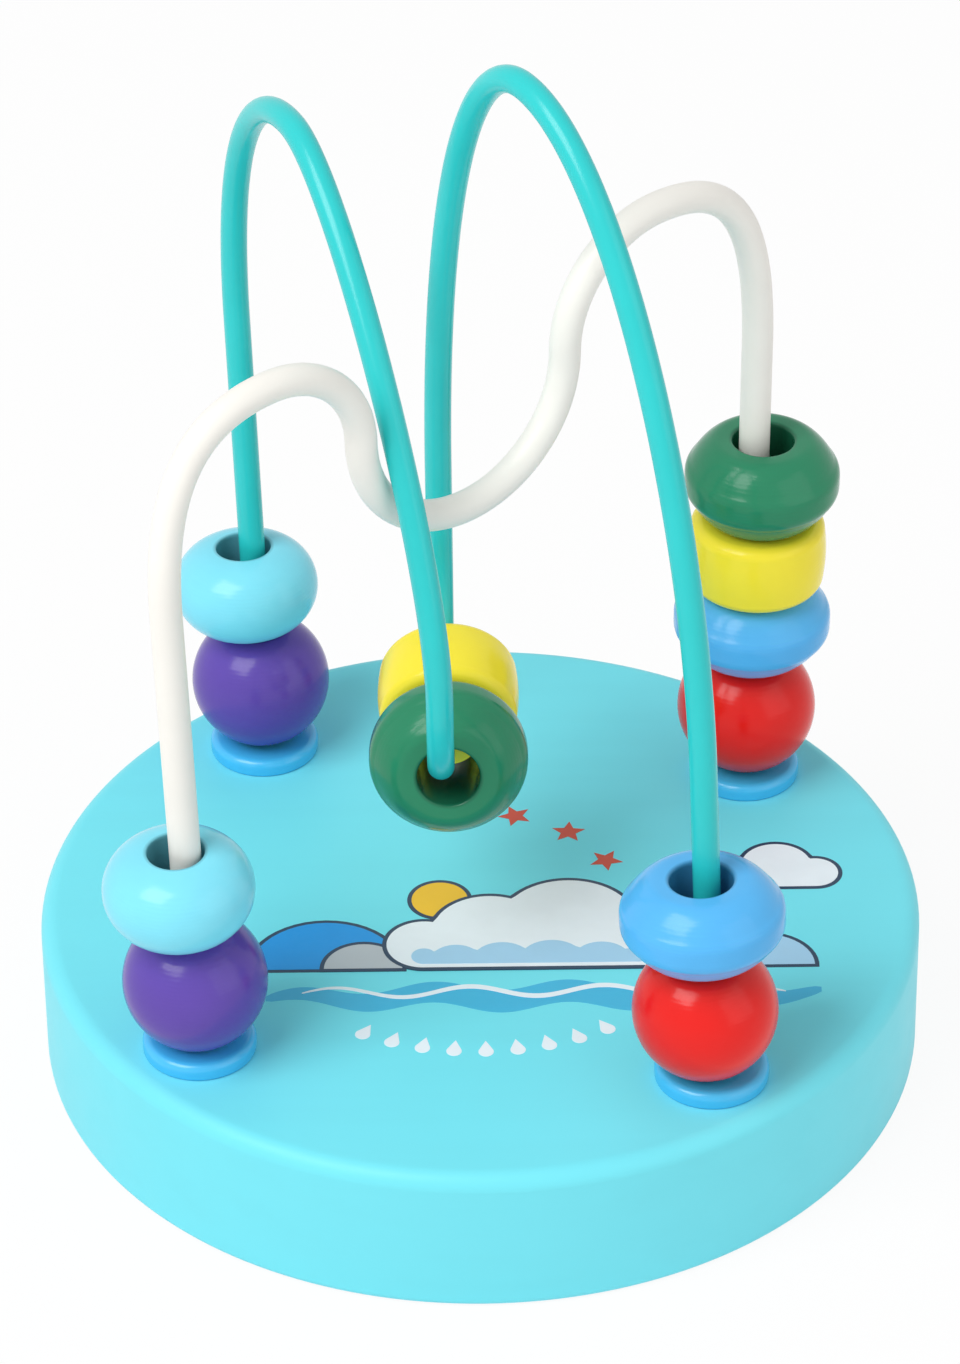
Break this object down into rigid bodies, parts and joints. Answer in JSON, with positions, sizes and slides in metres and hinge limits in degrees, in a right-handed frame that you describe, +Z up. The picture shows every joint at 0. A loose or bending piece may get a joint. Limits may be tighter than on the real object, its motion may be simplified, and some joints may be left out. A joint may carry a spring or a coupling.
{
  "type": "bead maze toy",
  "caption": "Mini bead maze: a round painted wooden base with bent coated wires that cross over each other and wooden beads that slide along them.",
  "frame": {"origin": "middle of the base's flat underside", "axes": "+Z up, -Y towards the front of the base, +X to the right as seen from the front"},
  "size_m": [0.1, 0.1, 0.1267],
  "materials": {
    "base_paint": "turquoise satin paint",
    "white_coating": "cream plastic coating",
    "teal_coating": "teal plastic coating",
    "ferrule_plastic": "blue gloss",
    "purple_paint": "purple gloss paint",
    "light_blue_paint": "light blue gloss paint",
    "red_paint": "red gloss paint",
    "blue_paint": "blue gloss paint",
    "yellow_paint": "yellow gloss paint",
    "green_paint": "green gloss paint"
  },
  "bodies": {
    "frame": {"base_disc": "base_paint", "white_wire": "white_coating", "teal_wire": "teal_coating", "ferrule_front_left": "ferrule_plastic", "ferrule_rear_right": "ferrule_plastic", "ferrule_rear_left": "ferrule_plastic", "ferrule_front_right": "ferrule_plastic"},
    "purple_ball_front_left": {"purple_ball_front_left": "purple_paint"},
    "blue_rondelle_front_left": {"blue_rondelle_front_left": "light_blue_paint"},
    "red_ball_rear_right": {"red_ball_rear_right": "red_paint"},
    "blue_saucer_rear_right": {"blue_saucer_rear_right": "blue_paint"},
    "yellow_barrel_rear_right": {"yellow_barrel_rear_right": "yellow_paint"},
    "green_saucer_rear_right": {"green_saucer_rear_right": "green_paint"},
    "purple_ball_rear_left": {"purple_ball_rear_left": "purple_paint"},
    "blue_rondelle_rear_left": {"blue_rondelle_rear_left": "light_blue_paint"},
    "red_ball_front_right": {"red_ball_front_right": "red_paint"},
    "blue_saucer_front_right": {"blue_saucer_front_right": "blue_paint"},
    "green_saucer_dip": {"green_saucer_dip": "green_paint"},
    "yellow_barrel_dip": {"yellow_barrel_dip": "yellow_paint"}
  },
  "joints": [
    {"name": "purple_ball_front_left_slide", "type": "slide", "parent": "frame", "child": "purple_ball_front_left", "axis": [-0.0258, -0.0209, 0.9995], "range_m": [0, 0.012]},
    {"name": "blue_rondelle_front_left_slide", "type": "slide", "parent": "purple_ball_front_left", "child": "blue_rondelle_front_left", "axis": [-0.0258, -0.0209, 0.9995], "range_m": [0, 0.016]},
    {"name": "purple_ball_rear_left_slide", "type": "slide", "parent": "frame", "child": "purple_ball_rear_left", "axis": [-0.0285, 0.0656, 0.9974], "range_m": [0, 0.012]},
    {"name": "blue_rondelle_rear_left_slide", "type": "slide", "parent": "purple_ball_rear_left", "child": "blue_rondelle_rear_left", "axis": [-0.0285, 0.0656, 0.9974], "range_m": [0, 0.016]},
    {"name": "red_ball_front_right_slide", "type": "slide", "parent": "frame", "child": "red_ball_front_right", "axis": [-0.0343, 0.0526, 0.998], "range_m": [0, 0.005]},
    {"name": "blue_saucer_front_right_slide", "type": "slide", "parent": "red_ball_front_right", "child": "blue_saucer_front_right", "axis": [-0.0343, 0.0526, 0.998], "range_m": [0, 0.007]},
    {"name": "red_ball_rear_right_slide", "type": "slide", "parent": "frame", "child": "red_ball_rear_right", "axis": [0.0102, 0.0082, 0.9999], "range_m": [0, 0.0028]},
    {"name": "blue_saucer_rear_right_slide", "type": "slide", "parent": "red_ball_rear_right", "child": "blue_saucer_rear_right", "axis": [0.0102, 0.0082, 0.9999], "range_m": [0, 0.0028]},
    {"name": "yellow_barrel_rear_right_slide", "type": "slide", "parent": "blue_saucer_rear_right", "child": "yellow_barrel_rear_right", "axis": [0.0102, 0.0082, 0.9999], "range_m": [0, 0.0028]},
    {"name": "green_saucer_rear_right_slide", "type": "slide", "parent": "yellow_barrel_rear_right", "child": "green_saucer_rear_right", "axis": [0.0102, 0.0082, 0.9999], "range_m": [0, 0.0028]},
    {"name": "green_saucer_dip_swing", "type": "hinge", "parent": "frame", "child": "green_saucer_dip", "pos_m": [-0.0041, -0.003, 0.0581], "axis": [1, 0, 0], "range_deg": [-40, 10]},
    {"name": "yellow_barrel_dip_swing", "type": "hinge", "parent": "green_saucer_dip", "child": "yellow_barrel_dip", "pos_m": [-0.0041, -0.003, 0.0581], "axis": [1, 0, 0], "range_deg": [0, 35]}
  ]
}
